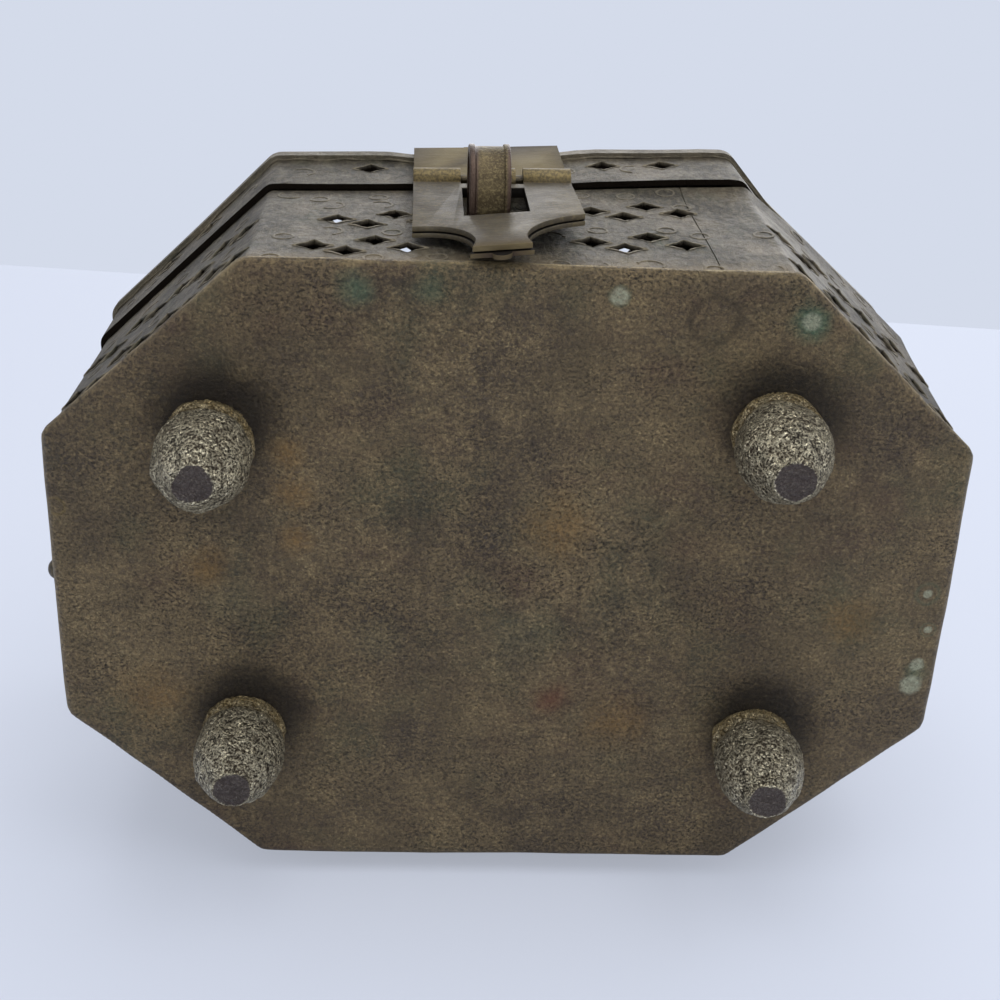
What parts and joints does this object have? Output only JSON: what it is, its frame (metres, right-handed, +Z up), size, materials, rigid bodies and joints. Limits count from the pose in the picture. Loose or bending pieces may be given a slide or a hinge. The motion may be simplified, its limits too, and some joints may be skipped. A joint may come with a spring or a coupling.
{
  "type": "trinket box",
  "caption": "Eight-sided pierced brass trinket box on cast feet, with a hinged lid and a swinging hasp that closes over a staple.",
  "frame": {"origin": "on the floor, midway between the end walls and midway between the front and back walls", "axes": "+Z up, -Y out of the front wall with the hasp, +X to the right seen from the front"},
  "size_m": [0.1526, 0.1283, 0.0861],
  "materials": {
    "pan_brass": "hammered sheet brass with a dark brown patina, worn golden in patches",
    "wall_brass": "pierced and engraved sheet brass with a dull grey-brown patina",
    "foot_brass": "rough cast brass, dark in the hollows and golden on the high spots",
    "hasp_brass": "smooth sheet brass, dull grey-brown",
    "staple_brass": "strap brass worn golden brown",
    "fitting_brass": "brass with a brown patina"
  },
  "bodies": {
    "body": {"base_pan": "pan_brass", "body_wall": "wall_brass", "foot_front_left": "foot_brass", "foot_front_right": "foot_brass", "foot_back_left": "foot_brass", "foot_back_right": "foot_brass", "foot_washers": "fitting_brass", "staple": "staple_brass", "staple_plate": "staple_brass", "end_stud": "fitting_brass", "hinge_body_leaf_left": "fitting_brass", "hinge_body_leaf_right": "fitting_brass", "hinge_pin_left": "fitting_brass", "hinge_pin_right": "fitting_brass", "hinge_body_rivets": "fitting_brass"},
    "lid": {"lid_wall": "wall_brass", "lid_top": "wall_brass", "hinge_lid_leaf_left": "fitting_brass", "hinge_lid_leaf_right": "fitting_brass", "hinge_lid_rivets": "fitting_brass", "hasp_leaf": "hasp_brass", "hasp_leaf_rivets": "fitting_brass", "hasp_pin": "fitting_brass"},
    "hasp": {"hasp": "hasp_brass"}
  },
  "joints": [
    {"name": "lid_hinge", "type": "hinge", "parent": "body", "child": "lid", "pos_m": [0, 0.0581, 0.06485], "axis": [-1, 0, 0], "range_deg": [0, 110]},
    {"name": "hasp_hinge", "type": "hinge", "parent": "lid", "child": "hasp", "pos_m": [-0.0033, -0.059, 0.0567], "axis": [-1, 0, 0], "range_deg": [0, 170]}
  ]
}
